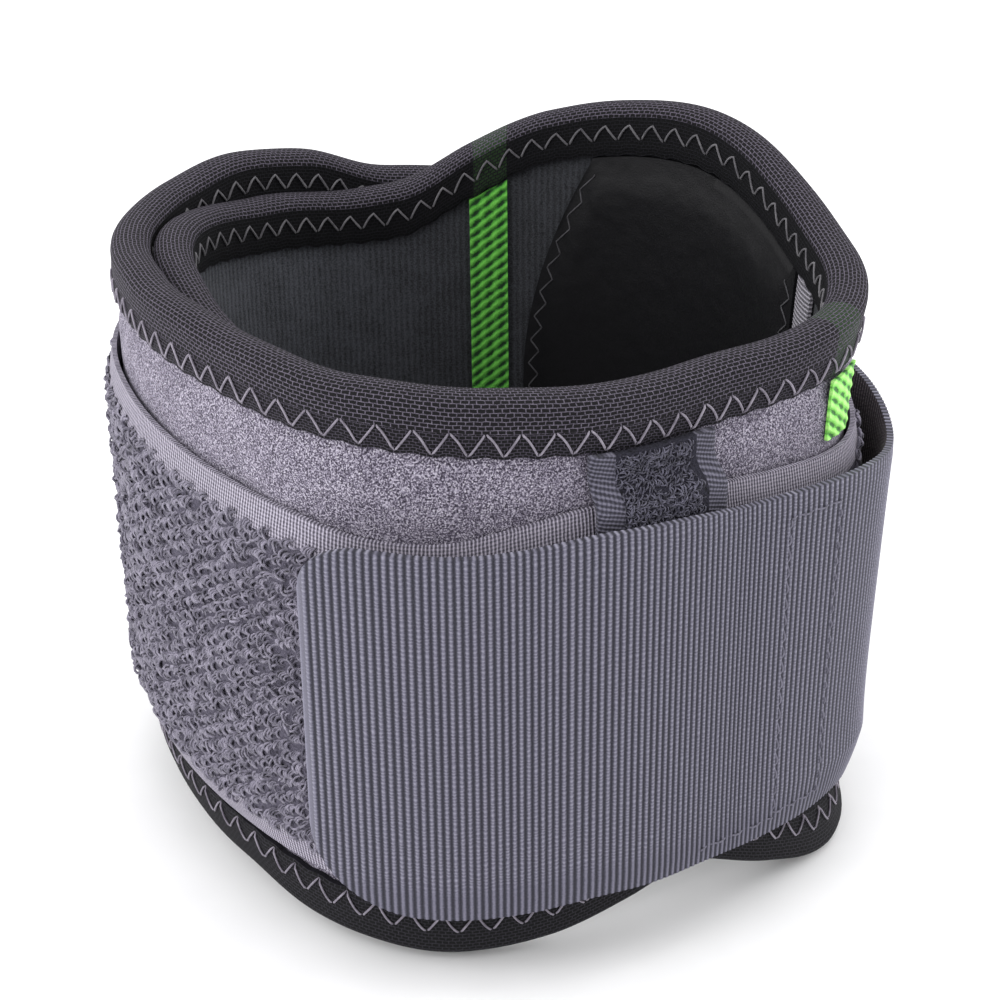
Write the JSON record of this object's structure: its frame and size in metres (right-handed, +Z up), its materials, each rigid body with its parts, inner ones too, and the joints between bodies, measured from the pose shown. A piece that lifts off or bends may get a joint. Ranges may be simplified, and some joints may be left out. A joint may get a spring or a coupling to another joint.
{
  "type": "tennis elbow strap",
  "caption": "Padded forearm band wrapped into a spiral, with bound edges, loop webbing round its outside and a ribbed pull strap that closes on it.",
  "frame": {"origin": "on the surface that the hem stands on, under the middle of the outline's box", "axes": "+Z up along the arm, from the hem to the rim; -Y towards the front, where the pull strap's free end lies; +X to the right"},
  "size_m": [0.1052, 0.1066, 0.0884],
  "materials": {
    "plush": "brushed",
    "binding": "knit",
    "pile": "loop pile",
    "elastic": "ribbed",
    "hook": "matte",
    "keeper": "loop pile",
    "pad": "smooth",
    "green": "knit"
  },
  "bodies": {
    "root": {"brace_band": "plush", "edge_binding": "binding", "pile_strap": "pile", "pull_strap": "elastic", "hook_patch": "hook", "keeper_tape": "keeper", "pressure_pad": "pad", "green_tape_inner": "green", "green_tape_outer": "green"}
  },
  "joints": []
}
